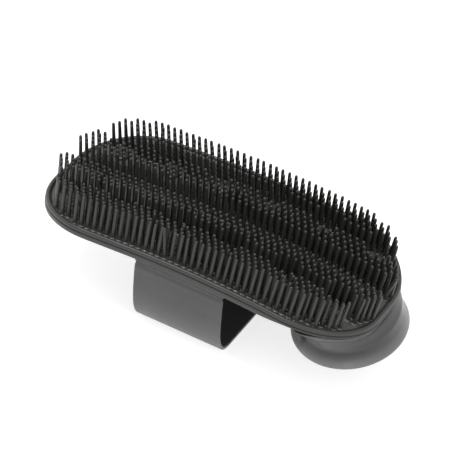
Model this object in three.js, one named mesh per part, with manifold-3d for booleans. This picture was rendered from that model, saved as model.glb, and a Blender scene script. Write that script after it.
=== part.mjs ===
// Curry comb: a flexible pin pad riveted to a stiff back plate, a hand strap that
// hinges along one long edge and catches on two pegs at the other, and a flared
// end grip. Millimetres, +Z up (the pins point up), +X towards the end grip,
// -Y the hinged edge. The comb stands on the strap's flat palm section at z = 0.
import * as THREE from 'three';
import { mergeVertices, mergeGeometries } from 'three/addons/utils/BufferGeometryUtils.js';
import Module from 'manifold-3d';

// ---- driving dimensions ----------------------------------------------------
const PITCH = 3.3;                 // pin pitch along X
const ROW = PITCH * 0.866;         // row spacing across Y (staggered rows)
const BAND_ROWS = 5;               // rows in each of the four bands of pins
const MID_CHANNEL = PITCH * 3.95;  // pin-free channel along the middle, row to row
const SIDE_CHANNEL = PITCH * 2.42; // channel between an inner and an outer band
const HALF_L = 84.0;               // plate half length
const HALF_W = 42.0;               // plate half width
const CORNER_R = 35.0;             // corner radius of the rounded ends
const BOW_X = 0.00188;             // curvature along X, 1/mm (ends bend down)
const LIFT = 3.0, LIFT_FROM = -30, LIFT_TO = -84;  // the plain end is flatter: lift at LIFT_TO
const BOW_Y = 0.0048;              // curvature across Y, 1/mm (edges bend up)
const FLOOR_T = 2.0;               // pin pad floor
const SKIRT_H = 4.0;               // pad floor datum to the skirt's lower edge
const SKIRT_T = 1.9;               // skirt wall
const PLATE_TOP = -2.3;            // back plate, below the floor datum
const PLATE_BOT = -4.0;
const PIN_H = 14.6;                // pin height above the floor
const PIN_R0 = 1.4;                // foot of a pin, corners of its three-sided section
const PIN_SINK = 0.7;
const PIN_MARGIN = 3.0;            // pin centre to the outline, at least
const SPOT_X = [-66, -39.6, -13.2, 13.2, 39.6, 66];
const SPOT_Y = [-21.9, 21.9];      // round bare spots, one pad rivet in each
const SPOT_R = 5.3;
const GAP = 0.3;                   // between pieces that touch
const STRAP_HALF_W = 22.3;         // hand strap, along X
const STRAP_T = 1.6;
const STRAP_DEPTH = 39.6;          // floor datum to the palm's lower face
const HINGE_Y = -40.4, HINGE_Z = -2.45;  // strap hinge axis, about the floor datum
const PEG_X = [-12, 12], PEG_Y = 34.6, PEG_R = 1.9;
const PEG_STEP = 6.0;              // between the strap's two rows of peg holes
const GRIP_X = 68.0;               // centre of the grip's lip
const LIP_A = 24.75, LIP_B = 33.3, LIP_Z = -20.1;
const NECK_A_R = 20.1, NECK_A_L = 20.6, NECK_B = 31.5, NECK_Z = -14.4;
const TOP_A_L = 22.7;
const WALL = 2.0;                  // grip wall
const FLANGE = 6.0;                // grip flange, inwards from its wall

const wasm = await Module();
wasm.setup();

// ---- the bowed surface every plate-mounted piece follows ---------------------
const lift = (x) => (x < LIFT_FROM ? (x - LIFT_FROM) / (LIFT_TO - LIFT_FROM) : 0);
const bow = (x, y) => (-BOW_X * x * x + BOW_Y * y * y) / 2 + LIFT * lift(x) ** 2;
const slopeX = (x) => -BOW_X * x + 2 * LIFT * lift(x) / (LIFT_TO - LIFT_FROM);

// ---- geometry helpers --------------------------------------------------------
function indexed(positions, tris) {
  const g = new THREE.BufferGeometry();
  g.setAttribute('position', new THREE.Float32BufferAttribute(positions, 3));
  g.setIndex(tris);
  return g;
}
function warp(g) {
  const p = g.attributes.position;
  for (let i = 0; i < p.count; i++) p.setZ(i, p.getZ(i) + bow(p.getX(i), p.getY(i)));
  return g;
}
function clean(g) {
  const h = g.clone();
  h.deleteAttribute('normal'); h.deleteAttribute('uv');
  return mergeVertices(h, 1e-5);
}
function toSolid(g) {
  const h = clean(g);
  return new wasm.Manifold(new wasm.Mesh({
    numProp: 3,
    vertProperties: new Float32Array(h.attributes.position.array),
    triVerts: new Uint32Array(h.index.array),
  }));
}
function fromSolid(m) {
  const r = m.getMesh();
  return indexed(Array.from(r.vertProperties), Array.from(r.triVerts));
}
// outline of the plate, inset by d: points anticlockwise, same count for every inset
const N_END = 10, N_LONG = 6, N_SHORT = 1;
function outline(d) {
  const r = CORNER_R - d, cx = HALF_L - CORNER_R, cy = HALF_W - CORNER_R, pts = [];
  const arc = (ox, oy, a0) => {
    for (let i = 0; i < N_END; i++) {
      const a = a0 + (i / N_END) * Math.PI / 2;
      pts.push([ox + r * Math.cos(a), oy + r * Math.sin(a)]);
    }
  };
  const line = (ax, ay, bx, by, n) => {
    for (let i = 0; i < n; i++) pts.push([ax + (bx - ax) * i / n, ay + (by - ay) * i / n]);
  };
  arc(cx, cy, 0);
  line(cx, cy + r, -cx, cy + r, N_LONG);
  arc(-cx, cy, Math.PI / 2);
  line(-cx - r, cy, -cx - r, -cy, N_SHORT);
  arc(-cx, -cy, Math.PI);
  line(-cx, -cy - r, cx, -cy - r, N_LONG);
  arc(cx, -cy, 1.5 * Math.PI);
  line(cx + r, -cy, cx + r, cy, N_SHORT);
  return pts;
}
// closed solid from stacked loops of equal count; ends close on a centre point
function loopSolid(loops, centreTop, centreBot) {
  const n = loops[0].length, pos = [], tri = [];
  for (const L of loops) for (const p of L) pos.push(...p);
  for (let k = 0; k + 1 < loops.length; k++) {
    for (let i = 0; i < n; i++) {
      const j = (i + 1) % n, a = k * n + i, b = k * n + j, c = a + n, e = b + n;
      tri.push(a, c, b, b, c, e);
    }
  }
  const t = pos.length / 3; pos.push(...centreTop);
  const b = t + 1; pos.push(...centreBot);
  const last = (loops.length - 1) * n;
  for (let i = 0; i < n; i++) {
    const j = (i + 1) % n;
    tri.push(t, i, j, b, last + j, last + i);
  }
  return indexed(pos, tri);
}
// ring solid from stacked loops, the last loop joined back to the first
function ringSolid(loops) {
  const n = loops[0].length, m = loops.length, pos = [], tri = [];
  for (const L of loops) for (const p of L) pos.push(...p);
  for (let k = 0; k < m; k++) {
    for (let i = 0; i < n; i++) {
      const j = (i + 1) % n, k2 = (k + 1) % m;
      const a = k * n + i, b = k * n + j, c = k2 * n + i, e = k2 * n + j;
      tri.push(a, c, b, b, c, e);
    }
  }
  return indexed(pos, tri);
}
// bowed slab between two levels, cut to the outline at an inset; its coarse facets
// meet along lines that run between the pins
const SLAB_X = [...Array(15).keys()].map((j) => 1.07 + 4 * PITCH * (j - 7));
const SLAB_Y = [...Array(9).keys()].map((j) => 10.8 * (j - 4));
function bowedSlab(inset, zTop, zBot) {
  const nx = SLAB_X.length, ny = SLAB_Y.length, pos = [], tri = [];
  for (const z of [zTop, zBot]) for (const y of SLAB_Y) for (const x of SLAB_X) pos.push(x, y, z);
  const id = (l, j, i) => l * nx * ny + j * nx + i;
  for (let j = 0; j + 1 < ny; j++) {
    for (let i = 0; i + 1 < nx; i++) {
      tri.push(id(0, j, i), id(0, j, i + 1), id(0, j + 1, i + 1), id(0, j, i), id(0, j + 1, i + 1), id(0, j + 1, i));
      tri.push(id(1, j, i), id(1, j + 1, i + 1), id(1, j, i + 1), id(1, j, i), id(1, j + 1, i), id(1, j + 1, i + 1));
    }
  }
  const side = (l) => { for (const [p, q] of l) tri.push(id(0, ...p), id(1, ...p), id(0, ...q), id(0, ...q), id(1, ...p), id(1, ...q)); };
  const run = (n, f) => [...Array(n - 1).keys()].map((k) => [f(k), f(k + 1)]);
  side(run(nx, (k) => [0, k]));
  side(run(nx, (k) => [ny - 1, nx - 1 - k]));
  side(run(ny, (k) => [ny - 1 - k, 0]));
  side(run(ny, (k) => [k, nx - 1]));
  const slab = toSolid(warp(indexed(pos, tri)));
  const edge = outline(inset);
  const cutter = loopSolid([edge.map(([x, y]) => [x, y, 30]), edge.map(([x, y]) => [x, y, -30])], [0, 0, 30], [0, 0, -30]);
  return slab.intersect(toSolid(cutter));
}
// rim: closed [inset, z] profile swept round the outline, following the bow
function rim(profile) {
  return toSolid(warp(ringSolid(profile.map(([d, z]) => outline(d).map(([x, y]) => [x, y, z])))));
}
// closed (y, z) profile swept along X in nx steps
function prismX(profile, x0, x1, nx) {
  const c = profile.map(([y, z]) => new THREE.Vector2(y, z));
  if (THREE.ShapeUtils.area(c) < 0) c.reverse();
  const n = c.length, pos = [], tri = [];
  for (let k = 0; k <= nx; k++) for (const p of c) pos.push(x0 + (x1 - x0) * k / nx, p.x, p.y);
  for (let k = 0; k < nx; k++) {
    for (let i = 0; i < n; i++) {
      const j = (i + 1) % n, a = k * n + i, b = k * n + j;
      tri.push(a, b, a + n, b, b + n, a + n);
    }
  }
  for (const f of THREE.ShapeUtils.triangulateShape(c, [])) {
    tri.push(f[2], f[1], f[0]);
    tri.push(nx * n + f[0], nx * n + f[1], nx * n + f[2]);
  }
  return indexed(pos, tri);
}
// turned piece about Z at (x, y): profile of [r, z], from the axis at the bottom to the axis at the top
function turned(profile, x, y, seg = 16) {
  const g = new THREE.LatheGeometry(profile.map(([r, z]) => new THREE.Vector2(r, z)), seg);
  g.rotateX(Math.PI / 2);
  g.translate(x, y, 0);
  return clean(g);
}
function drill(x, y, r, z0, z1, seg = 16) {
  return toSolid(turned([[0, z0], [r, z0], [r, z1], [0, z1]], x, y, seg));
}
// section of even thickness about a (y, z) centre line
function ribbon(path, t) {
  const left = [], right = [];
  for (let i = 0; i < path.length; i++) {
    const a = path[Math.max(0, i - 1)], b = path[Math.min(path.length - 1, i + 1)];
    const dx = b[0] - a[0], dz = b[1] - a[1], l = Math.hypot(dx, dz);
    const nx = -dz / l * t / 2, nz = dx / l * t / 2;
    left.push([path[i][0] + nx, path[i][1] + nz]);
    right.push([path[i][0] - nx, path[i][1] - nz]);
  }
  return { left, right };
}

// ---- materials -----------------------------------------------------------------
const mat = (color, roughness) => new THREE.MeshStandardMaterial({ color, roughness, metalness: 0 });
const PAD = mat(0x2c2c2a, 0.5), SHELL = mat(0x5e605f, 0.55), RIVET = mat(0x232322, 0.5);

const group = new THREE.Group();
function add(name, geometry, material) {
  const g = geometry.index ? geometry.toNonIndexed() : geometry;
  g.computeVertexNormals();
  const m = new THREE.Mesh(clean(g), material);
  m.geometry.computeVertexNormals();
  m.name = name;
  group.add(m);
  return m;
}

// ---- pin positions ---------------------------------------------------------------
function insideBy(x, y) {                        // distance from the outline, inwards
  const cx = HALF_L - CORNER_R, cy = HALF_W - CORNER_R;
  const dx = Math.max(Math.abs(x) - cx, 0), dy = Math.max(Math.abs(y) - cy, 0);
  if (dx > 0 && dy > 0) return CORNER_R - Math.hypot(dx, dy);
  return Math.min(HALF_L - Math.abs(x), HALF_W - Math.abs(y));
}
const BAND = (BAND_ROWS - 1) * ROW;
const bandStart = [
  -(MID_CHANNEL / 2 + BAND + SIDE_CHANNEL + BAND), -(MID_CHANNEL / 2 + BAND),
  MID_CHANNEL / 2, MID_CHANNEL / 2 + BAND + SIDE_CHANNEL];
const slotStart = [0, 6, 14, 20];                // row parity of each band
const pins = [];
for (let b = 0; b < 4; b++) {
  for (let r = 0; r < BAND_ROWS; r++) {
    const y = bandStart[b] + r * ROW, shift = ((slotStart[b] + r) % 2) * 0.5;
    for (let k = -27; k <= 27; k++) {
      const x = (k - shift) * PITCH;
      if (insideBy(x, y) < PIN_MARGIN) continue;
      if (SPOT_X.some((sx) => SPOT_Y.some((sy) => Math.hypot(x - sx, y - sy) < SPOT_R))) continue;
      pins.push([x, y]);
    }
  }
}

// ---- pin pad: floor, rolled rim, skirt and pins in one moulding ---------------------
let pad = bowedSlab(2.6, 0, -FLOOR_T).add(rim([
  [3.0, -0.4], [2.3, 0.6], [1.35, 1.0], [0.4, 0.5], [0.0, -0.8],
  [0.0, -SKIRT_H + 0.5], [0.45, -SKIRT_H], [SKIRT_T, -SKIRT_H], [SKIRT_T, -FLOOR_T + 0.4]]));
const pinGeo = pins.map(([x, y], i) => {
  const n = new THREE.Vector3(-slopeX(x), -BOW_Y * y, 1).normalize();
  const base = new THREE.Vector3(x, y, bow(x, y)).addScaledVector(n, -PIN_SINK);
  const tip = new THREE.Vector3(x, y, bow(x, y)).addScaledVector(n, PIN_H);
  const u = new THREE.Vector3(0, 1, 0).cross(n).normalize(), v = n.clone().cross(u);
  const pos = [];
  for (let k = 0; k < 3; k++) {
    const a = k * 2 * Math.PI / 3;
    const q = base.clone().addScaledVector(u, PIN_R0 * Math.cos(a)).addScaledVector(v, PIN_R0 * Math.sin(a));
    pos.push(q.x, q.y, q.z);
  }
  pos.push(tip.x, tip.y, tip.z);
  return indexed(pos, [2, 1, 0, 0, 1, 3, 1, 2, 3, 2, 0, 3]);
});
pad = pad.add(toSolid(mergeGeometries(pinGeo)));
for (const x of SPOT_X) for (const y of SPOT_Y) pad = pad.subtract(drill(x, y, 2.5, bow(x, y) - 5, bow(x, y) + 3, 8));
add('pin_pad', fromSolid(pad), PAD);

// ---- back plate with the two strap catch pegs -----------------------------------------
const stripRivets = [[-16, -33.5], [0, -33.5], [16, -33.5]];
let plate = bowedSlab(SKIRT_T + GAP, PLATE_TOP, PLATE_BOT);
for (const x of SPOT_X) for (const y of SPOT_Y) plate = plate.subtract(drill(x, y, 2.5, bow(x, y) - 7, bow(x, y) + 1, 8));
for (const [x, y] of stripRivets) plate = plate.subtract(drill(x, y, 2.1, bow(x, y) - 7, bow(x, y) + 1, 8));

// ---- pad rivets ------------------------------------------------------------------------
const rivetProfile = [
  [0, -5.2], [3.0, -5.0], [3.0, PLATE_BOT - GAP], [2.0, PLATE_BOT - GAP],
  [2.0, GAP], [3.5, GAP], [3.1, 0.9], [0, 1.3]];
const rivets = [];
let ri = 0;
for (const x of SPOT_X) for (const y of SPOT_Y) {
  ri += 1;
  rivets.push([`pad_rivet_${String(ri).padStart(2, '0')}`, warp(turned(rivetProfile, x, y, 8))]);
}

// ---- strap hinge strip and its rivets --------------------------------------------------------
const stripTop = PLATE_BOT - GAP, stripBot = stripTop - 1.4;
const stripY = [-41.0, -39.9, -36.5, -33.5, -30.8, -28.6];
let strip = toSolid(warp(prismX([
  [-41.0, stripTop - 0.1], [-41.0, stripTop - 0.7], [-40.0, stripBot],
  ...stripY.slice(2, 5).map((y) => [y, stripBot]), [-28.9, stripBot], [-28.4, stripBot + 0.6], [-28.4, stripTop],
  ...stripY.slice(1, 5).reverse().map((y) => [y, stripTop])], -STRAP_HALF_W, STRAP_HALF_W, 6)));
for (const [x, y] of stripRivets) strip = strip.subtract(drill(x, y, 2.1, bow(x, y) - 8, bow(x, y) + 1, 8));
add('strap_hinge_strip', fromSolid(strip), SHELL);
const shortRivet = (top, under) => [
  [0, under - 1.1], [2.6, under - 0.9], [2.6, under - GAP], [1.6, under - GAP],
  [1.6, top], [0, top]];
stripRivets.forEach(([x, y], i) => {
  rivets.push([`strip_rivet_${i + 1}`, warp(turned(shortRivet(PLATE_TOP - 0.1, stripBot), x, y, 8))]);
});

// ---- hand strap ----------------------------------------------------------------------------------
const edgeBow = (y) => bow(STRAP_HALF_W, y);
const tabZ = (y) => edgeBow(y) + PLATE_BOT - 0.4 - STRAP_T / 2;
const wall = [[40.25, -6.5], [40.1, -9.9], [39.7, -14], [39.3, -18], [38.75, -21.8], [38.1, -25.4], [37.0, -29.4],
  [35.4, -32.9], [33.1, -36.0], [30.2, -38.0], [26.6, -38.8]];
const nearWall = wall.map(([y, z]) => [-y, z]);
const path = [[-40.4, -3.9], ...nearWall, [-13, -38.8], [0, -38.8], [13, -38.8], ...wall.slice().reverse(),
  [40.25, -3.6], [39.9, -2.5], [39.0, tabZ(39)], [36.4, tabZ(36.4)], [33.6, tabZ(33.6)], [30.8, tabZ(30.8)],
  [28, tabZ(28)], [25.4, tabZ(25.4)]];
const rb = ribbon(path, STRAP_T);
// the near top edge is thinned to the hinge line
const strapProfile = [[HINGE_Y + 0.25, HINGE_Z - 0.35], ...rb.left, ...rb.right.reverse(), [HINGE_Y - 0.25, HINGE_Z - 0.35]];
let strap = toSolid(prismX(strapProfile, -STRAP_HALF_W, STRAP_HALF_W, 1));
for (const x of PEG_X) for (const y of [PEG_Y, PEG_Y - PEG_STEP]) {
  strap = strap.subtract(drill(x, y, PEG_R + 0.4, tabZ(y) - 3, tabZ(y) + 3, 12));
}
add('hand_strap', fromSolid(strap), SHELL);
for (const x of PEG_X) {
  const z = bow(x, PEG_Y);
  plate = plate.add(toSolid(turned([
    [0, z - 8.2], [PEG_R - 0.5, z - 8.2], [PEG_R, z - 7.6], [PEG_R, z - 3.2], [0, z - 3.2]], x, PEG_Y, 12)));
}

// ---- end grip --------------------------------------------------------------------------------------
const N_GRIP = 40;
const angles = [...Array(N_GRIP).keys()].map((i) => i * 2 * Math.PI / N_GRIP);
function toOutline(c, s, inset) {                  // ray from the grip centre to the inset outline
  let lo = 0, hi = 60;
  for (let k = 0; k < 40; k++) {
    const m = (lo + hi) / 2;
    if (insideBy(GRIP_X + m * c, m * s) > inset) lo = m; else hi = m;
  }
  return lo;
}
const oval = (c, s, a, b) => 1 / Math.hypot(c / a, s / b);
const topR = (c, s) => c >= 0 ? toOutline(c, s, 1.3) : oval(c, s, TOP_A_L, toOutline(0, Math.sign(s) || 1, 1.3));
const neckR = (c, s) => oval(c, s, c >= 0 ? NECK_A_R : NECK_A_L, NECK_B);
const lipR = (c, s) => oval(c, s, LIP_A, LIP_B);
const gripTop = PLATE_BOT - GAP;                   // under the plate and skirt, following the bow
const lerp = (a, b, t) => a + (b - a) * t;
function gripLoop(f) {
  return angles.map((a) => {
    const c = Math.cos(a), s = Math.sin(a), T = topR(c, s), Nk = neckR(c, s), L = lipR(c, s);
    const zT = (r) => bow(GRIP_X + r * c, r * s) + gripTop;
    const [r, z] = f(T, Nk, L, zT);
    return [GRIP_X + r * c, r * s, z];
  });
}
const gripLoops = [
  gripLoop((T, N, L, z) => [T, z(T)]),
  gripLoop((T, N, L, z) => [lerp(T, N, 0.12), lerp(z(T), NECK_Z, 0.18)]),
  gripLoop((T, N, L, z) => [lerp(T, N, 0.55), lerp(z(T), NECK_Z, 0.5)]),
  gripLoop((T, N, L, z) => [N, NECK_Z]),
  gripLoop((T, N, L, z) => [lerp(N, L, 0.22), lerp(NECK_Z, LIP_Z, 0.38)]),
  gripLoop((T, N, L, z) => [lerp(N, L, 0.58), lerp(NECK_Z, LIP_Z, 0.72)]),
  gripLoop((T, N, L, z) => [L, LIP_Z]),
  gripLoop((T, N, L, z) => [L + 0.35, LIP_Z - 0.8]),
  gripLoop((T, N, L, z) => [L - 0.2, LIP_Z - 1.5]),
  gripLoop((T, N, L, z) => [L - 1.4, LIP_Z - 1.6]),
  gripLoop((T, N, L, z) => [lerp(N, L, 0.5) - WALL, lerp(NECK_Z, LIP_Z, 0.82)]),
  gripLoop((T, N, L, z) => [N - WALL, NECK_Z - 0.4]),
  gripLoop((T, N, L, z) => [Math.min(T, N) - WALL - 0.2, z(Math.min(T, N) - WALL) - 1.9]),
  gripLoop((T, N, L, z) => [Math.min(T, N) - FLANGE, z(Math.min(T, N) - FLANGE) - 1.7]),
  gripLoop((T, N, L, z) => [Math.min(T, N) - FLANGE, z(Math.min(T, N) - FLANGE)]),
];
let grip = toSolid(ringSolid(gripLoops));
const gripRivets = [55, 125, 235, 305].map((d) => {
  const a = d * Math.PI / 180, c = Math.cos(a), s = Math.sin(a);
  const r = Math.min(topR(c, s), neckR(c, s)) - 4.5;
  return [GRIP_X + r * c, r * s];
});
for (const [x, y] of gripRivets) {
  grip = grip.subtract(drill(x, y, 1.6, bow(x, y) - 8, bow(x, y), 8));
  plate = plate.subtract(drill(x, y, 1.6, bow(x, y) - 8, bow(x, y) + 1, 8));
}
add('end_grip', fromSolid(grip), SHELL);
add('back_plate', fromSolid(plate), PAD);
const gripRivetProfile = [
  [0, -7.2], [1.8, -7.1], [1.8, -6.5], [1.15, -6.5], [1.15, PLATE_TOP - 0.1], [0, PLATE_TOP - 0.1]];
gripRivets.forEach(([x, y], i) => rivets.push([`grip_rivet_${i + 1}`, warp(turned(gripRivetProfile, x, y, 8))]));
for (const [name, g] of rivets) add(name, g, RIVET);

// ---- origin: centre of the footprint, on the resting surface -----------------------------------
const box = new THREE.Box3().setFromObject(group);
const origin = new THREE.Vector3((box.min.x + box.max.x) / 2, (box.min.y + box.max.y) / 2, box.min.z);
group.position.copy(origin).negate();
group.updateMatrixWorld(true);

export default group;
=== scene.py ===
import bpy
import math
import random
import numpy as np
from mathutils import Matrix, Vector


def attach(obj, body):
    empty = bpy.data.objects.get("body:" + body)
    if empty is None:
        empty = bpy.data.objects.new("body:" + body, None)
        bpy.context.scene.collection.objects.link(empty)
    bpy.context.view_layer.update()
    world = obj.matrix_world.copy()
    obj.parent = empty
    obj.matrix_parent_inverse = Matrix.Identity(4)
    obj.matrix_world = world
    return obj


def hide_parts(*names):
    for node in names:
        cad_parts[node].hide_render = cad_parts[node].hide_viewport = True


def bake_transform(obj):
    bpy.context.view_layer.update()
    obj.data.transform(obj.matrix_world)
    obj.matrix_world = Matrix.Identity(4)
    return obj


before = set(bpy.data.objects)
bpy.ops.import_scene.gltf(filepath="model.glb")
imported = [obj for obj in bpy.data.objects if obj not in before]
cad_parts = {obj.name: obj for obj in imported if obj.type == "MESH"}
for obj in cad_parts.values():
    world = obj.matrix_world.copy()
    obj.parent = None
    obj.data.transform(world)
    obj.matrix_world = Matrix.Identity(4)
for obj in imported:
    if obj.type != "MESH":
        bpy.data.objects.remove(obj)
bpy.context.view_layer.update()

# ---------------------------------------------------------------- dimensions (mm)
PITCH, ROW, BAND_ROWS = 3.3, 3.3 * 0.866, 5
MID_CHANNEL, SIDE_CHANNEL = 3.3 * 3.95, 3.3 * 2.42
HALF_L, HALF_W, CORNER_R = 84.0, 42.0, 35.0
BOW_X, BOW_Y = 0.00188, 0.0048
LIFT, LIFT_FROM, LIFT_TO = 3.0, -30.0, -84.0
SKIRT_T, PLATE_TOP, PLATE_BOT, GAP = 1.9, -2.3, -4.0, 0.3
PIN_H, PIN_MARGIN = 14.6, 3.0
SPOT_X, SPOT_Y, SPOT_R = (-66, -39.6, -13.2, 13.2, 39.6, 66), (-21.9, 21.9), 5.3
STRAP_HALF_W, STRAP_T = 22.3, 1.6
PEG_X, PEG_Y, PEG_R, PEG_STEP = (-12, 12), 34.6, 1.9, 6.0
HINGE_Y, HINGE_Z = -40.4, -2.45
GRIP_X, LIP_A, LIP_B, LIP_Z = 68.0, 24.75, 33.3, -20.1
NECK_A_R, NECK_A_L, NECK_B, NECK_Z = 20.1, 20.6, 31.5, -14.4
TOP_A_L, WALL, FLANGE = 22.7, 2.0, 6.0
ORIGIN = np.array([4.55, 0.0, -39.6])


def lift(x):
    return np.maximum(0.0, (np.asarray(x, float) - LIFT_FROM) / (LIFT_TO - LIFT_FROM))


def bow(x, y):
    return (-BOW_X * x * x + BOW_Y * y * y) / 2 + LIFT * lift(x) ** 2


def plate_normal(x, y):
    slope = -BOW_X * x + 2 * LIFT * float(lift(x)) / (LIFT_TO - LIFT_FROM)
    return Vector((-slope, -BOW_Y * y, 1)).normalized()


def M(p):
    """modelling millimetres to frame metres"""
    return (np.asarray(p, float) - ORIGIN) / 1000.0


# ---------------------------------------------------------------- mesh helpers
def mesh_object(name, verts, faces, material, body, replaces, sharp=40):
    me = bpy.data.meshes.new(name)
    me.from_pydata([tuple(v) for v in verts], [], [tuple(int(i) for i in f) for f in faces])
    me.validate()
    me.update()
    import bmesh
    bm = bmesh.new()
    bm.from_mesh(me)
    bmesh.ops.recalc_face_normals(bm, faces=bm.faces)
    bm.to_mesh(me)
    bm.free()
    for p in me.polygons:
        p.use_smooth = True
    me.set_sharp_from_angle(angle=math.radians(sharp))
    ob = bpy.data.objects.new(name, me)
    bpy.context.scene.collection.objects.link(ob)
    me.materials.append(material)
    if body:
        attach(ob, body)
    if replaces:
        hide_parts(*replaces)
    return ob


def loft(loops, close_ring=False, caps=(None, None)):
    """loops: list of (n, 3) arrays. caps: centre points for the two ends"""
    n = len(loops[0])
    verts = np.concatenate(loops)
    faces = []
    m = len(loops)
    for k in range(m if close_ring else m - 1):
        k2 = (k + 1) % m
        for i in range(n):
            j = (i + 1) % n
            faces.append((k * n + i, k * n + j, k2 * n + j, k2 * n + i))
    extra = []
    for c, base, rev in ((caps[0], 0, True), (caps[1], (m - 1) * n, False)):
        if c is None:
            continue
        ci = len(verts) + len(extra)
        extra.append(c)
        for i in range(n):
            j = (i + 1) % n
            faces.append((ci, base + j, base + i) if rev else (ci, base + i, base + j))
    if extra:
        verts = np.concatenate([verts, np.array(extra)])
    return verts, faces


def smooth_path(pts, per=6, closed=False):
    """Catmull-Rom (centripetal) through 2-D points"""
    P = [np.array(p, float) for p in pts]
    n = len(P)
    out = []
    rng = range(n if closed else n - 1)
    for i in rng:
        p1, p2 = P[i % n], P[(i + 1) % n]
        p0 = P[(i - 1) % n] if closed or i > 0 else 2 * p1 - p2
        p3 = P[(i + 2) % n] if closed or i + 2 < n else 2 * p2 - p1
        t0 = 0.0
        t1 = t0 + max(1e-6, np.linalg.norm(p1 - p0)) ** 0.5
        t2 = t1 + max(1e-6, np.linalg.norm(p2 - p1)) ** 0.5
        t3 = t2 + max(1e-6, np.linalg.norm(p3 - p2)) ** 0.5
        for k in range(per):
            t = t1 + (t2 - t1) * k / per
            a1 = (t1 - t) / (t1 - t0) * p0 + (t - t0) / (t1 - t0) * p1
            a2 = (t2 - t) / (t2 - t1) * p1 + (t - t1) / (t2 - t1) * p2
            a3 = (t3 - t) / (t3 - t2) * p2 + (t - t2) / (t3 - t2) * p3
            b1 = (t2 - t) / (t2 - t0) * a1 + (t - t0) / (t2 - t0) * a2
            b2 = (t3 - t) / (t3 - t1) * a2 + (t - t1) / (t3 - t1) * a3
            out.append((t2 - t) / (t2 - t1) * b1 + (t - t1) / (t2 - t1) * b2)
    if not closed:
        out.append(P[-1])
    return np.array(out)


def outline(d, n_end=30, n_long=44, n_short=5):
    r, cx, cy = CORNER_R - d, HALF_L - CORNER_R, HALF_W - CORNER_R
    pts = []

    def arc(ox, oy, a0):
        for i in range(n_end):
            a = a0 + i / n_end * math.pi / 2
            pts.append((ox + r * math.cos(a), oy + r * math.sin(a)))

    def line(ax, ay, bx, by, n):
        for i in range(n):
            pts.append((ax + (bx - ax) * i / n, ay + (by - ay) * i / n))
    arc(cx, cy, 0)
    line(cx, cy + r, -cx, cy + r, n_long)
    arc(-cx, cy, math.pi / 2)
    line(-cx - r, cy, -cx - r, -cy, n_short)
    arc(-cx, -cy, math.pi)
    line(-cx, -cy - r, cx, -cy - r, n_long)
    arc(cx, -cy, 1.5 * math.pi)
    line(cx + r, -cy, cx + r, cy, n_short)
    return np.array(pts)


def warped(xy, z):
    xy = np.asarray(xy, float)
    zz = bow(xy[:, 0], xy[:, 1]) + z
    return M(np.column_stack([xy, zz]))


def near_grip(x):
    t = np.clip((np.asarray(x, float) - 40) / 16, 0, 1)
    return t * t * (3 - 2 * t)


def platter(profile, shallow=0.0):
    loops = []
    scales = [0.03, 0.1, 0.18, 0.27, 0.36, 0.45, 0.54, 0.63, 0.72, 0.8, 0.87, 0.94]
    first, z0 = outline(profile[0][0]), profile[0][1]
    for k in scales:
        loops.append(warped(first * k, z0))
    for d, z in profile:
        o = outline(d)
        drop = np.clip((-z - 1.8) / 2.2, 0, 1)
        loops.append(warped(o, z + shallow * drop * near_grip(o[:, 0])))
    last, z1 = outline(profile[-1][0]), profile[-1][1]
    for k in reversed(scales):
        loops.append(warped(last * k, z1))
    return loft(loops, caps=(M([0, 0, z0]), M([0, 0, z1])))


def turned(profile, x, y, seg=28, warp=True, per=1, tilt=True):
    """solid of revolution about Z at (x, y), profile [r, z] bottom to top"""
    loops = []
    a = np.linspace(0, 2 * math.pi, seg, endpoint=False)
    prof = smooth_path(profile, per) if per > 1 else np.array(profile, float)
    for r, z in prof[1:-1]:
        r = max(r, 1e-3)
        px, py = x + r * np.cos(a), y + r * np.sin(a)
        loops.append(M(np.column_stack([px, py, z + (bow(px, py) if warp else 0 * px)])))
    c = (bow(x, y) if warp else 0)
    return loft(loops, caps=(M([x, y, prof[0][1] + c]), M([x, y, prof[-1][1] + c])))


def boolean_cut(ob, cutters):
    for k, (v, f) in enumerate(cutters):
        me = bpy.data.meshes.new("cut")
        me.from_pydata([tuple(p) for p in v], [], [tuple(int(i) for i in q) for q in f])
        import bmesh
        bm = bmesh.new(); bm.from_mesh(me)
        bmesh.ops.recalc_face_normals(bm, faces=bm.faces)
        bm.to_mesh(me); bm.free()
        c = bpy.data.objects.new("cut", me)
        bpy.context.scene.collection.objects.link(c)
        mod = ob.modifiers.new("b", "BOOLEAN")
        mod.operation, mod.object, mod.solver = "DIFFERENCE", c, "EXACT"
        dg = bpy.context.evaluated_depsgraph_get()
        new = bpy.data.meshes.new_from_object(ob.evaluated_get(dg))
        ob.modifiers.clear()
        old = ob.data
        ob.data = new
        bpy.data.meshes.remove(old)
        bpy.data.objects.remove(c)
        bpy.data.meshes.remove(me)
    return ob


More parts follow.
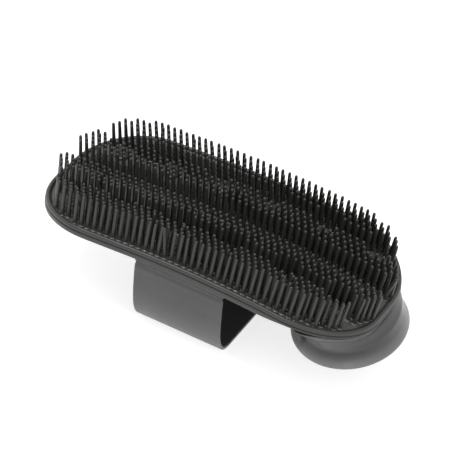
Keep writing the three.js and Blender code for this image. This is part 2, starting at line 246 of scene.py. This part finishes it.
# ---------------------------------------------------------------- materials
def plastic(name, base, dark, light, rough, grain=900.0, grain_h=0.00006, mottling=55.0,
            streak=(1, 1, 1), use_painted_shading=False, spec=0.5):
    m = bpy.data.materials.new(name)
    m.use_nodes = True
    nt = m.node_tree
    N, L = nt.nodes, nt.links
    bsdf = N["Principled BSDF"]
    tc = N.new("ShaderNodeTexCoord")
    mp = N.new("ShaderNodeMapping")
    mp.inputs["Scale"].default_value = streak
    L.new(tc.outputs["Object"], mp.inputs["Vector"])
    # slow mottling of the moulded plastic
    n1 = N.new("ShaderNodeTexNoise")
    n1.inputs["Scale"].default_value = mottling
    n1.inputs["Detail"].default_value = 5
    n1.inputs["Roughness"].default_value = 0.6
    L.new(mp.outputs["Vector"], n1.inputs["Vector"])
    cr = N.new("ShaderNodeValToRGB")
    e = cr.color_ramp.elements
    e[0].position, e[0].color = 0.30, (*dark, 1)
    e[1].position, e[1].color = 0.72, (*light, 1)
    mid = cr.color_ramp.elements.new(0.5)
    mid.color = (*base, 1)
    L.new(n1.outputs["Fac"], cr.inputs["Fac"])
    # fine specks
    n2 = N.new("ShaderNodeTexNoise")
    n2.inputs["Scale"].default_value = grain
    n2.inputs["Detail"].default_value = 3
    L.new(tc.outputs["Object"], n2.inputs["Vector"])
    mx = N.new("ShaderNodeMix")
    mx.data_type = "RGBA"
    mx.blend_type = "MULTIPLY"
    mx.inputs["Factor"].default_value = 1.0
    r2 = N.new("ShaderNodeMapRange")
    r2.inputs["From Min"].default_value, r2.inputs["From Max"].default_value = 0.3, 0.7
    r2.inputs["To Min"].default_value, r2.inputs["To Max"].default_value = 0.9, 1.08
    L.new(n2.outputs["Fac"], r2.inputs["Value"])
    L.new(cr.outputs["Color"], mx.inputs["A"])
    L.new(r2.outputs["Result"], mx.inputs["B"])
    # painted light and shade: the base colour is multiplied by a per-point factor that paints shade and light onto
    # the moulding
    if use_painted_shading:
        at = N.new("ShaderNodeAttribute")
        at.attribute_name = "painted_shading"
        painted_shading_mix = N.new("ShaderNodeMix")
        painted_shading_mix.data_type = "RGBA"
        painted_shading_mix.blend_type = "MULTIPLY"
        painted_shading_mix.inputs["Factor"].default_value = 1.0
        L.new(mx.outputs["Result"], painted_shading_mix.inputs["A"])
        L.new(at.outputs["Fac"], painted_shading_mix.inputs["B"])
        L.new(painted_shading_mix.outputs["Result"], bsdf.inputs["Base Color"])
    else:
        L.new(mx.outputs["Result"], bsdf.inputs["Base Color"])
    # roughness
    n3 = N.new("ShaderNodeTexNoise")
    n3.inputs["Scale"].default_value = mottling * 2.3
    n3.inputs["Detail"].default_value = 6
    L.new(mp.outputs["Vector"], n3.inputs["Vector"])
    rr = N.new("ShaderNodeMapRange")
    rr.inputs["From Min"].default_value, rr.inputs["From Max"].default_value = 0.3, 0.7
    rr.inputs["To Min"].default_value, rr.inputs["To Max"].default_value = rough - 0.06, rough + 0.08
    L.new(n3.outputs["Fac"], rr.inputs["Value"])
    L.new(rr.outputs["Result"], bsdf.inputs["Roughness"])
    # grain bump
    b1 = N.new("ShaderNodeBump")
    b1.inputs["Strength"].default_value = 0.35
    b1.inputs["Distance"].default_value = grain_h
    L.new(n2.outputs["Fac"], b1.inputs["Height"])
    b2 = N.new("ShaderNodeBump")
    b2.inputs["Strength"].default_value = 0.25
    b2.inputs["Distance"].default_value = grain_h * 4
    L.new(n1.outputs["Fac"], b2.inputs["Height"])
    L.new(b1.outputs["Normal"], b2.inputs["Normal"])
    L.new(b2.outputs["Normal"], bsdf.inputs["Normal"])
    bsdf.inputs["Specular IOR Level"].default_value = spec
    bsdf.inputs["IOR"].default_value = 1.5
    return m


PAD = plastic("pad_plastic", (0.0270, 0.0270, 0.0252), (0.0215, 0.0215, 0.0200), (0.034, 0.034, 0.0320), 0.38,
              grain=1100, grain_h=0.00003, mottling=60, use_painted_shading=True)
PINS = plastic("pin_plastic", (0.0290, 0.0290, 0.0275), (0.0235, 0.0235, 0.0222), (0.037, 0.037, 0.0355), 0.38,
               grain=1500, grain_h=0.00002, mottling=140, streak=(1, 1, 0.35), spec=0.34)
# painted highlight: the collar plastic is much paler than the pins, standing in for the glints at the pin feet
COLLAR_GLINT = plastic("collar_painted_glint", (0.075, 0.075, 0.073), (0.060, 0.060, 0.058), (0.095, 0.095, 0.093), 0.10,
                 grain=1500, grain_h=0.00001, mottling=300, spec=1.0)
SHELL = plastic("strap_plastic", (0.096, 0.097, 0.0975), (0.085, 0.086, 0.0865), (0.107, 0.108, 0.1085), 0.50,
                grain=1300, grain_h=0.00005, mottling=34, use_painted_shading=True)
GRIP = plastic("grip_plastic", (0.100, 0.101, 0.1015), (0.090, 0.091, 0.0915), (0.110, 0.111, 0.1115), 0.34,
               grain=1300, grain_h=0.00003, mottling=42, use_painted_shading=True)
UNDER = plastic("plate_plastic", (0.022, 0.022, 0.0205), (0.016, 0.016, 0.015), (0.030, 0.030, 0.028), 0.48,
                grain=900, grain_h=0.00006, mottling=45)
RIVET = plastic("rivet_plastic", (0.016, 0.016, 0.015), (0.012, 0.012, 0.011), (0.022, 0.022, 0.021), 0.36,
                grain=1200, grain_h=0.00003, mottling=200)
WEB = plastic("web_plastic", (0.040, 0.040, 0.039), (0.030, 0.030, 0.029), (0.052, 0.052, 0.051), 0.5,
              grain=1200, grain_h=0.00004, mottling=80)


def set_painted_shading(ob, fn):
    """painted light and shade on the moulding, per point, from its place and the way it faces"""
    me = ob.data
    at = me.attributes.get("painted_shading") or me.attributes.new("painted_shading", "FLOAT", "POINT")
    vals = []
    for vert in me.vertices:
        q = np.array(vert.co) * 1000 + ORIGIN
        vals.append(fn(q, vert.normal))
    at.data.foreach_set("value", np.array(vals, np.float32))


# ---------------------------------------------------------------- pin pad body
rim_keys = [(3.5, 0.0), (3.0, 0.05), (2.62, 0.28), (2.25, 0.66), (1.85, 0.93), (1.35, 1.02), (0.85, 0.90),
            (0.45, 0.56), (0.20, 0.08), (0.12, -0.40), (0.24, -0.80), (0.50, -1.08), (0.56, -1.24), (0.44, -1.40),
            (0.10, -1.54), (0.0, -1.80), (0.0, -3.1), (0.08, -3.6), (0.42, -3.93), (0.85, -4.0), (1.45, -4.0),
            (1.78, -3.86), (1.9, -3.5), (1.9, -2.5), (1.9, -2.0)]
prof = [tuple(p) for p in smooth_path(rim_keys, 3)]
v, f = platter(prof, shallow=1.5)
pad_body = mesh_object("pad_body", v, f, PAD, "comb", ["pin_pad"], sharp=60)


# ---------------------------------------------------------------- pins
def inside_by(x, y):
    cx, cy = HALF_L - CORNER_R, HALF_W - CORNER_R
    dx, dy = max(abs(x) - cx, 0), max(abs(y) - cy, 0)
    if dx > 0 and dy > 0:
        return CORNER_R - math.hypot(dx, dy)
    return min(HALF_L - abs(x), HALF_W - abs(y))


def pad_painted_shading(q, nrm):
    # painted light: the up-facing floor among the pins is painted much paler than the rolled rim and walls, to offset
    # the shade the pins cast on it
    return 1.9 if nrm[2] > 0.5 and inside_by(q[0], q[1]) > 3.3 else 0.76


set_painted_shading(pad_body, pad_painted_shading)

band = (BAND_ROWS - 1) * ROW
starts = [-(MID_CHANNEL / 2 + band + SIDE_CHANNEL + band), -(MID_CHANNEL / 2 + band),
          MID_CHANNEL / 2, MID_CHANNEL / 2 + band + SIDE_CHANNEL]
slot0 = [0, 6, 14, 20]
pins = []
for b in range(4):
    for r in range(BAND_ROWS):
        y = starts[b] + r * ROW
        shift = ((slot0[b] + r) % 2) * 0.5
        for k in range(-27, 28):
            x = (k - shift) * PITCH
            if inside_by(x, y) < PIN_MARGIN:
                continue
            if any(math.hypot(x - sx, y - sy) < SPOT_R for sx in SPOT_X for sy in SPOT_Y):
                continue
            pins.append((x, y, b, r, k))

rnd = random.Random(565)
SEG = 12
ring = np.linspace(0, 2 * math.pi, SEG, endpoint=False)
# height, radius of one pin: a fillet at the foot, a slight taper, a rounded tip
LEVELS = [(-0.25, 1.62), (0.0, 1.58), (0.10, 1.42), (0.26, 1.24), (0.48, 1.10), (0.78, 1.00), (1.3, 0.94), (3.2, 0.90), (6.0, 0.86),
          (9.0, 0.82), (11.6, 0.785), (13.3, 0.765), (13.8, 0.735), (14.15, 0.655), (14.40, 0.49), (14.54, 0.27)]
vs, fs = [], []
base_i = 0
for (x, y, b, r, k) in pins:
    n = plate_normal(x, y)
    u = Vector((0, 1, 0)).cross(n).normalized()
    w = n.cross(u)
    # every pin leans a little; a few have taken a set
    ang = rnd.uniform(0, 2 * math.pi)
    lean = abs(rnd.gauss(0, 0.012))
    curve = rnd.gauss(0, 0.010)
    near_right = b == 0 and x > 35
    p_bent = 0.16 if near_right else (0.05 if (b == 0 or abs(x) > 60) else 0.012)
    if rnd.random() < p_bent:
        lean += rnd.uniform(0.03, 0.12)
        curve += rnd.uniform(-0.05, 0.08)
    out_x = 0.0
    if x < -74:
        out_x = rnd.uniform(-0.03, 0.015)
    elif x > 77 and 0 < y < 9:
        out_x = 0.10 + rnd.uniform(0, 0.06)
    height = PIN_H * (1 + rnd.uniform(-0.012, 0.006))
    d = u * math.cos(ang) + w * math.sin(ang)
    p0 = Vector((x, y, bow(x, y)))
    for h, rad in LEVELS:
        hh = h * height / 14.6 if h > 1 else h
        t = max(0.0, hh) / height
        c = p0 + n * hh + d * (height * (lean * t + curve * t * t)) + u * (out_x * height * t ** 1.4)
        for a in ring:
            q = c + u * (rad * math.cos(a)) + w * (rad * math.sin(a))
            vs.append(((q.x - ORIGIN[0]) / 1000, (q.y - ORIGIN[1]) / 1000, (q.z - ORIGIN[2]) / 1000))
    m = len(LEVELS)
    for lv in range(m - 1):
        for i in range(SEG):
            j = (i + 1) % SEG
            fs.append((base_i + lv * SEG + i, base_i + lv * SEG + j, base_i + (lv + 1) * SEG + j, base_i + (lv + 1) * SEG + i))
    tip = p0 + n * height + d * (height * (lean + curve)) + u * (out_x * height)
    vs.append(((tip.x - ORIGIN[0]) / 1000, (tip.y - ORIGIN[1]) / 1000, (tip.z - ORIGIN[2]) / 1000))
    ti = base_i + m * SEG
    for i in range(SEG):
        fs.append((base_i + (m - 1) * SEG + i, base_i + (m - 1) * SEG + (i + 1) % SEG, ti))
    fs.append(tuple(base_i + i for i in reversed(range(SEG))))
    base_i = ti + 1
pin_field = mesh_object("pin_field", vs, fs, PINS, "comb", ["pin_pad"], sharp=50)

# a low rounded collar round the foot of every pin, in a paler plastic that paints a glint at each foot
vs, fs = [], []
base_i = 0
for (x, y, b, r, k) in pins:
    n = plate_normal(x, y)
    u = Vector((0, 1, 0)).cross(n).normalized()
    w = n.cross(u)
    p0 = Vector((x, y, bow(x, y)))
    lv_c = [(-0.2, 1.44), (0.10, 1.44), (0.28, 1.36), (0.38, 1.22), (0.40, 1.08), (0.30, 0.94), (0.18, 0.90)]
    for h, rad in lv_c:
        for a in ring:
            q = p0 + n * h + u * (rad * math.cos(a)) + w * (rad * math.sin(a))
            vs.append(((q.x - ORIGIN[0]) / 1000, (q.y - ORIGIN[1]) / 1000, (q.z - ORIGIN[2]) / 1000))
    m = len(lv_c)
    for lv in range(m - 1):
        for i in range(SEG):
            j = (i + 1) % SEG
            fs.append((base_i + lv * SEG + i, base_i + lv * SEG + j, base_i + (lv + 1) * SEG + j, base_i + (lv + 1) * SEG + i))
    fs.append(tuple(base_i + i for i in reversed(range(SEG))))
    fs.append(tuple(base_i + (m - 1) * SEG + i for i in range(SEG)))
    base_i += m * SEG
mesh_object("pin_collars", vs, fs, COLLAR_GLINT, "comb", ["pin_pad"], sharp=60)

# ---------------------------------------------------------------- back plate, with the catch pegs
plate_prof = [(SKIRT_T + GAP + 0.15, PLATE_TOP), (SKIRT_T + GAP, PLATE_TOP - 0.15), (SKIRT_T + GAP, PLATE_BOT + 0.3),
              (SKIRT_T + GAP + 0.12, PLATE_BOT + 0.08), (SKIRT_T + GAP + 0.35, PLATE_BOT),
              (5.0, PLATE_BOT), (5.5, PLATE_BOT + 0.12), (6.1, PLATE_BOT + 0.12), (6.6, PLATE_BOT)]
v, f = platter(plate_prof)
plate = mesh_object("plate_shell", v, f, UNDER, "comb", ["back_plate"], sharp=35)
for i, x in enumerate(PEG_X):
    z = bow(x, PEG_Y)
    prof = [(0, z - 3.9), (PEG_R + 0.5, z - 3.95), (PEG_R + 0.05, z - 4.3), (PEG_R, z - 4.8), (PEG_R, z - 7.4), (PEG_R - 0.25, z - 7.9),
            (PEG_R - 0.8, z - 8.15), (0, z - 8.2)]
    v, f = turned(prof[::-1], x, PEG_Y, 32, warp=False)
    mesh_object(f"catch_peg_{i + 1}", v, f, UNDER, "comb", ["back_plate"], sharp=50)

# ---------------------------------------------------------------- rivets
n = 0
for x in SPOT_X:
    for y in SPOT_Y:
        n += 1
        prof = [(0, -5.12), (1.2, -5.18), (2.3, -5.05), (2.85, -4.72), (3.0, -4.36), (2.9, -4.3), (2.05, -4.3), (2.0, -4.2), (2.0, 0.2),
                (2.05, 0.3), (3.35, 0.3), (3.5, 0.42), (3.38, 0.72), (2.9, 0.95), (2.0, 1.06), (1.0, 1.0), (0.8, 0.8), (0, 0.78)]
        v, f = turned(prof, x, y, 36)
        mesh_object(f"rivet_pad_{n:02d}", v, f, RIVET, "comb", [f"pad_rivet_{n:02d}"], sharp=45)
strip_top = PLATE_BOT - GAP
strip_bot = strip_top - 1.4
for i, x in enumerate((-16, 0, 16)):
    u0 = strip_bot
    prof = [(0, u0 - 1.05), (0.9, u0 - 1.1), (1.9, u0 - 1.02), (2.45, u0 - 0.75), (2.6, u0 - 0.42), (2.5, u0 - 0.3), (1.65, u0 - 0.3),
            (1.6, u0 - 0.2), (1.6, PLATE_TOP - 0.3), (1.4, PLATE_TOP - 0.1), (0, PLATE_TOP - 0.1)]
    v, f = turned(prof, x, -33.5, 32)
    mesh_object(f"rivet_strip_{i + 1}", v, f, RIVET, "comb", [f"strip_rivet_{i + 1}"], sharp=45)

# ---------------------------------------------------------------- strap hinge strip
def prism_loops(profile, xs, warp):
    loops = []
    prof = np.array(profile)
    for x in xs:
        px = np.full(len(prof), x)
        z = prof[:, 1] + (bow(px, prof[:, 0]) if warp else 0)
        loops.append(M(np.column_stack([px, prof[:, 0], z])))
    return loops


def rounded_ends(profile, hw, r, warp, nx=24):
    """sweep a convex-ish section along X, its ends rounded over by r"""
    prof = np.array(profile, float)
    c = prof.mean(0)
    loops = []
    steps = [(hw, 1.0), (hw - 0.0, 0.0)]
    xs = list(np.linspace(-hw + r, hw - r, nx))
    seq = []
    for k in (0.0, 0.3, 0.6, 0.85, 1.0):
        a = k * math.pi / 2
        seq.append((-hw + r - r * math.cos(a), r * (1 - math.sin(a))))
    left = [(x, s) for x, s in seq]
    right = [(-x, s) for x, s in reversed(seq)]
    for x, s in left + [(x, 0.0) for x in xs[1:-1]] + right:
        loops.append((x, s))
    out = []
    # shrink the section by s using vertex normals
    nxt, prv = np.roll(prof, -1, 0), np.roll(prof, 1, 0)
    tan = nxt - prv
    tan /= np.linalg.norm(tan, axis=1)[:, None] + 1e-9
    nor = np.column_stack([tan[:, 1], -tan[:, 0]])
    area = 0.5 * np.sum(prof[:, 0] * nxt[:, 1] - nxt[:, 0] * prof[:, 1])
    if area < 0:
        nor = -nor
    for x, s in loops:
        q = prof - nor * s
        px = np.full(len(q), x)
        z = q[:, 1] + (bow(px, q[:, 0]) if warp else 0)
        out.append(M(np.column_stack([px, q[:, 0], z])))
    cz = c[1]
    return out


strip_sec = [(-41.0, strip_top - 0.15), (-41.05, strip_top - 0.45), (-40.95, strip_top - 0.8), (-40.5, strip_bot + 0.2), (-40.0, strip_bot),
             (-38, strip_bot), (-36, strip_bot), (-34, strip_bot), (-32, strip_bot), (-30, strip_bot), (-28.9, strip_bot + 0.02),
             (-28.5, strip_bot + 0.3), (-28.4, strip_bot + 0.8), (-28.5, strip_top - 0.1), (-28.8, strip_top),
             (-30, strip_top), (-32, strip_top), (-34, strip_top), (-36, strip_top), (-38, strip_top), (-40.6, strip_top)]
loops = rounded_ends(strip_sec, STRAP_HALF_W, 0.35, True)
v, f = loft(loops, caps=(loops[0].mean(0), loops[-1].mean(0)))
set_painted_shading(mesh_object("hinge_strip", v, f, SHELL, "comb", ["strap_hinge_strip"], sharp=40), lambda q, nrm: 0.62)

# ---------------------------------------------------------------- hand strap
def edge_bow(y):
    return bow(STRAP_HALF_W, y)


def tab_z(y):
    return edge_bow(y) + PLATE_BOT - 0.4 - STRAP_T / 2


wall = [(40.25, -6.5), (40.1, -9.9), (39.7, -14), (39.3, -18), (38.75, -21.8), (38.1, -25.4), (37.0, -29.4),
        (35.4, -32.9), (33.1, -36.0), (30.2, -38.0), (26.6, -38.8)]
near = [(-y, z) for y, z in wall]
keys = [(-40.4, -3.35), (-40.4, -3.9)] + near + [(-13, -38.8), (0, -38.8), (13, -38.8)] + wall[::-1] + \
       [(40.25, -3.6), (39.9, -2.5), (39.0, tab_z(39)), (36.4, tab_z(36.4)), (33.6, tab_z(33.6)), (30.8, tab_z(30.8)),
        (28, tab_z(28)), (25.4, tab_z(25.4))]
cl = smooth_path(keys, 5)
cl[:, 1] = np.maximum(cl[:, 1], -38.8)
tan = np.gradient(cl, axis=0)
tan /= np.linalg.norm(tan, axis=1)[:, None]
nor = np.column_stack([-tan[:, 1], tan[:, 0]])


def band_section(hw, t, r=0.62, nx=22):
    """rounded oblong section: list of (x, offset)"""
    pts = []
    h = t / 2
    for cx, cz, a0 in ((hw - r, h - r, 0), (-hw + r, h - r, 90), (-hw + r, -h + r, 180), (hw - r, -h + r, 270)):
        for k in range(6):
            a = math.radians(a0 + 18 * k)
            pts.append((cx + r * math.cos(a), cz + r * math.sin(a)))
        if a0 == 0:
            for x in np.linspace(hw - r, -hw + r, nx)[1:-1]:
                pts.append((x, h))
        if a0 == 180:
            for x in np.linspace(-hw + r, hw - r, nx)[1:-1]:
                pts.append((x, -h))
    return pts


loops = []
count = len(cl)
L_total = np.concatenate([[0], np.cumsum(np.linalg.norm(np.diff(cl, axis=0), axis=1))])
for i in range(count):
    s, e = L_total[i], L_total[-1] - L_total[i]
    t = STRAP_T
    if s < 1.4:
        t = 0.55 + (STRAP_T - 0.55) * (s / 1.4) ** 0.8
    hw = STRAP_HALF_W
    if e < 3.0:
        hw = STRAP_HALF_W - 3.0 + math.sqrt(max(0.0, 9.0 - (3.0 - e) ** 2))
    sec = band_section(hw, t, min(0.62, t / 2 * 0.98))
    loops.append(M(np.array([(x, cl[i, 0] + nor[i, 0] * o, cl[i, 1] + nor[i, 1] * o) for x, o in sec])))
v, f = loft(loops, caps=(loops[0].mean(0), loops[-1].mean(0)))
strap = mesh_object("strap_band", v, f, SHELL, "strap", ["hand_strap"], sharp=40)
cutters = []
for x in PEG_X:
    for y in (PEG_Y, PEG_Y - PEG_STEP):
        z = tab_z(y)
        cutters.append(turned([(0, z - 3), (PEG_R + 0.4, z - 3), (PEG_R + 0.4, z + 3), (0, z + 3)], x, y, 36, warp=False))
boolean_cut(strap, cutters)
strap.data.set_sharp_from_angle(angle=math.radians(40))


def strap_painted_shading(q, nrm):
    # painted shade: the inner face of the loop is painted dark, as the shade inside it
    mid = np.array([0, -20.0])
    inner_face_shaded = (mid[0] - q[1]) * nrm[1] + (mid[1] - q[2]) * nrm[2] > 0 and abs(nrm[0]) < 0.6
    if inner_face_shaded:
        return 0.26
    # painted light: paler towards the bottom bend, as the light thrown up from the floor, with a painted highlight
    # along the rounded edges
    d = max(0.0, min(1.0, (-q[2] - 12.0) / 22.0))
    edge = max(0.0, (abs(q[0]) - STRAP_HALF_W + 0.8) / 0.8)
    return 0.43 + 0.72 * d ** 2 + 0.16 * edge


set_painted_shading(strap, strap_painted_shading)

# the thin web of the live hinge, with its fine moulded ribs
web_loops = []
xs = np.linspace(-STRAP_HALF_W + 0.4, STRAP_HALF_W - 0.4, 240)
for k, x in enumerate(xs):
    zt = bow(x, -40.4) + strip_bot + 0.25
    zb = HINGE_Z - 1.05
    zz = np.linspace(zt, zb, 7)
    out = [(x, -40.68 - 0.16 * (math.sin((x + 0.9 * j * 0.25) * 2 * math.pi / 1.5) > 0) * (0 < j < 6), z) for j, z in enumerate(zz)]
    inn = [(x, -40.18, z) for z in zz[::-1]]
    web_loops.append(M(np.array(out + inn)))
v, f = loft(web_loops, caps=(web_loops[0].mean(0), web_loops[-1].mean(0)))
web = mesh_object("hinge_web", v, f, WEB, None, [], sharp=50)
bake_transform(web)

# ---------------------------------------------------------------- end grip
def to_outline(c, s, inset):
    lo, hi = 0.0, 60.0
    for _ in range(45):
        m = (lo + hi) / 2
        if inside_by(GRIP_X + m * c, m * s) > inset:
            lo = m
        else:
            hi = m
    return lo


def oval(c, s, a, b):
    return 1 / math.hypot(c / a, s / b)


TOP_B = to_outline(0, 1, 1.3)


def top_r(c, s):
    return to_outline(c, s, 1.3) if c >= 0 else oval(c, s, TOP_A_L, TOP_B)


def neck_r(c, s):
    return oval(c, s, NECK_A_R if c >= 0 else NECK_A_L, NECK_B)


def lerp(a, b, t):
    return a + (b - a) * t


N_G = 160
gangles = [i * 2 * math.pi / N_G for i in range(N_G)]
grip_cols = []
for a in gangles:
    c, s = math.cos(a), math.sin(a)
    T, Nk, Lp = top_r(c, s), neck_r(c, s), oval(c, s, LIP_A, LIP_B)
    zt = lambda r: bow(GRIP_X + r * c, r * s) + PLATE_BOT - GAP
    m_ = min(T, Nk)
    edge = to_outline(c, s, 0.45)
    fade = max(0.0, min(1.0, (c + 0.62) / 0.5))
    up = float(near_grip(GRIP_X + edge * c)) * fade * fade * (3 - 2 * fade)
    T2 = T + (edge - T) * up
    outer = [(T2 - 1.25, zt(T) + 1.3 * up), (T2 - 0.25, zt(T) + 1.35 * up), (T2, zt(T) - 0.3 + 1.3 * up), (lerp(T2, T, 0.5), zt(T) - 0.9), (lerp(T, Nk, 0.12), lerp(zt(T), NECK_Z, 0.18)), (lerp(T, Nk, 0.55), lerp(zt(T), NECK_Z, 0.5)),
             (lerp(T, Nk, 0.90), lerp(zt(T), NECK_Z, 0.78)), (Nk, NECK_Z), (lerp(Nk, Lp, 0.22), lerp(NECK_Z, LIP_Z, 0.38)),
             (lerp(Nk, Lp, 0.58), lerp(NECK_Z, LIP_Z, 0.72)), (Lp - 0.1, LIP_Z + 0.1), (Lp + 0.30, LIP_Z - 0.55), (Lp + 0.25, LIP_Z - 1.05),
             (Lp - 0.25, LIP_Z - 1.45), (Lp - 0.9, LIP_Z - 1.6), (Lp - 1.5, LIP_Z - 1.45), (lerp(Nk, Lp, 0.5) - WALL, lerp(NECK_Z, LIP_Z, 0.82)),
             (Nk - WALL, NECK_Z - 0.4), (m_ - WALL - 0.1, zt(m_ - WALL) - 3.2), (m_ - WALL - 0.7, zt(m_ - WALL) - 2.1), (m_ - 4.2, zt(m_ - 4.2) - 1.7), (m_ - FLANGE + 0.3, zt(m_ - FLANGE) - 1.7),
             (m_ - FLANGE, zt(m_ - FLANGE) - 1.4), (m_ - FLANGE, zt(m_ - FLANGE) - 0.3), (m_ - FLANGE + 0.3, zt(m_ - FLANGE)), (m_ - 3.5, zt(m_ - 3.5)),
             (T - 1.6, zt(T - 1.6))]
    sp = smooth_path(outer, 3, closed=False)
    grip_cols.append([(GRIP_X + r * c, r * s, z) for r, z in sp])
cols = np.array(grip_cols)            # angle, level, xyz
loops = [M(cols[:, k, :]) for k in range(cols.shape[1])]
v, f = loft(loops, close_ring=True)
grip = mesh_object("grip_flare", v, f, GRIP, "comb", ["end_grip"], sharp=50)


def grip_painted_shading(q, nrm):
    out = (q[0] - GRIP_X) * nrm[0] + q[1] * nrm[1] > 0
    # painted shade: faces turned into the hollow of the grip are painted darker
    if not out:
        return 0.55
    # painted shade and light: darkest in the hollow of the neck and a little darker high on the wall under the rim,
    # as painted shade; lighter on the flare of the lip, with a painted highlight at its front edge; brighter towards
    # the right and far side, as painted light
    t = (q[2] - LIP_Z) / 12.0
    neck = math.exp(-((q[2] - (NECK_Z - 0.6)) / 2.2) ** 2)
    lip = max(0.0, min(1.0, (NECK_Z - 3.0 - q[2]) / 3.2))
    wall_up = max(0.0, min(1.0, (q[2] - NECK_Z - 1.5) / 2.5))
    side = 0.5 + 0.5 * max(-1.0, min(1.0, (q[0] - GRIP_X) / 22.0))
    far = max(0.0, min(1.0, (q[1] - 1.0) / 16.0))
    front = max(0.0, min(1.0, (-q[1] - 22.0) / 8.0)) * max(0.0, min(1.0, (GRIP_X + 4.0 - q[0]) / 12.0))
    return (0.66 - 0.52 * neck + 0.60 * lip + 0.9 * lip * lip * front - 0.08 * wall_up) * (0.92 + 0.12 * side + 0.75 * far * side)


set_painted_shading(grip, grip_painted_shading)
for i, dg_ in enumerate((55, 125, 235, 305)):
    a = math.radians(dg_)
    c, s = math.cos(a), math.sin(a)
    r = min(top_r(c, s), neck_r(c, s)) - 4.5
    x, y = GRIP_X + r * c, r * s
    prof = [(0, -7.15), (0.8, -7.2), (1.45, -7.08), (1.75, -6.8), (1.78, -6.6), (1.65, -6.5), (1.2, -6.5), (1.15, -6.4), (1.15, -2.6), (1.0, -2.42), (0, -2.4)]
    v, f = turned(prof, x, y, 28)
    mesh_object(f"rivet_grip_{i + 1}", v, f, RIVET, "comb", [f"grip_rivet_{i + 1}"], sharp=45)

# ---------------------------------------------------------------- floor, light, camera
floor_me = bpy.data.meshes.new("floor")
floor_me.from_pydata([(-6, -6, -0.0001), (6, -6, -0.0001), (6, 6, -0.0001), (-6, 6, -0.0001)], [], [(0, 1, 2, 3)])
floor = bpy.data.objects.new("floor", floor_me)
bpy.context.scene.collection.objects.link(floor)
fm = bpy.data.materials.new("floor_pale")
fm.use_nodes = True
fb = fm.node_tree.nodes["Principled BSDF"]
fb.inputs["Base Color"].default_value = (0.5, 0.5, 0.5, 1)
fb.inputs["Roughness"].default_value = 0.8
fb.inputs["Emission Color"].default_value = (1, 1, 1, 1)
fb.inputs["Emission Strength"].default_value = 0.72
floor_me.materials.append(fm)

world = bpy.data.worlds.new("studio")
bpy.context.scene.world = world
world.use_nodes = True
bg = world.node_tree.nodes["Background"]
bg.inputs["Color"].default_value = (1, 1, 1, 1)
bg.inputs["Strength"].default_value = 1.0


def area(name, loc, target, size, power, size_y=None):
    d = bpy.data.lights.new(name, "AREA")
    d.energy = power
    d.size = size
    if size_y:
        d.shape = "RECTANGLE"
        d.size_y = size_y
    o = bpy.data.objects.new(name, d)
    bpy.context.scene.collection.objects.link(o)
    o.location = loc
    o.rotation_euler = (Vector(target) - Vector(loc)).to_track_quat("-Z", "Y").to_euler()
    return o


area("key", (-0.42, -0.05, 1.05), (0, 0, 0.04), 0.40, 5.5)
area("fill", (0.75, -0.45, 0.60), (0.05, 0, 0.03), 0.5, 1.5)
area("spark", (0.02, -0.32, 1.25), (0, 0, 0.04), 0.13, 2.6)

AZ, EL, ROLL, DIST = 0.411168, 0.663886, 0.141922, math.exp(5.834292) * 3.3
F_PX, CX, CY = 2500.0, 223.296, 229.715
back = Vector((math.sin(AZ) * math.cos(EL), -math.cos(AZ) * math.cos(EL), math.sin(EL)))
right = Vector((0, 0, 1)).cross(back).normalized()
up = back.cross(right)
c, s = math.cos(ROLL), math.sin(ROLL)
r2, u2 = right * c + up * s, right * -s + up * c
cam_mm = Vector((0, 0, 0)) + back * DIST - r2 * ((CX - 226) / F_PX * DIST) + u2 * ((CY - 226) / F_PX * DIST)
cam_pos = Vector(M(cam_mm[:]))
cam_data = bpy.data.cameras.new("camera")
cam_data.sensor_width = 36.0
cam_data.lens = F_PX / 452.0 * 36.0
cam_data.clip_end = 50
cam = bpy.data.objects.new("camera", cam_data)
bpy.context.scene.collection.objects.link(cam)
rot = Matrix((r2, u2, back)).transposed()
cam.matrix_world = Matrix.Translation(cam_pos) @ rot.to_4x4()
bpy.context.scene.camera = cam
bpy.context.scene.view_settings.view_transform = "Standard"
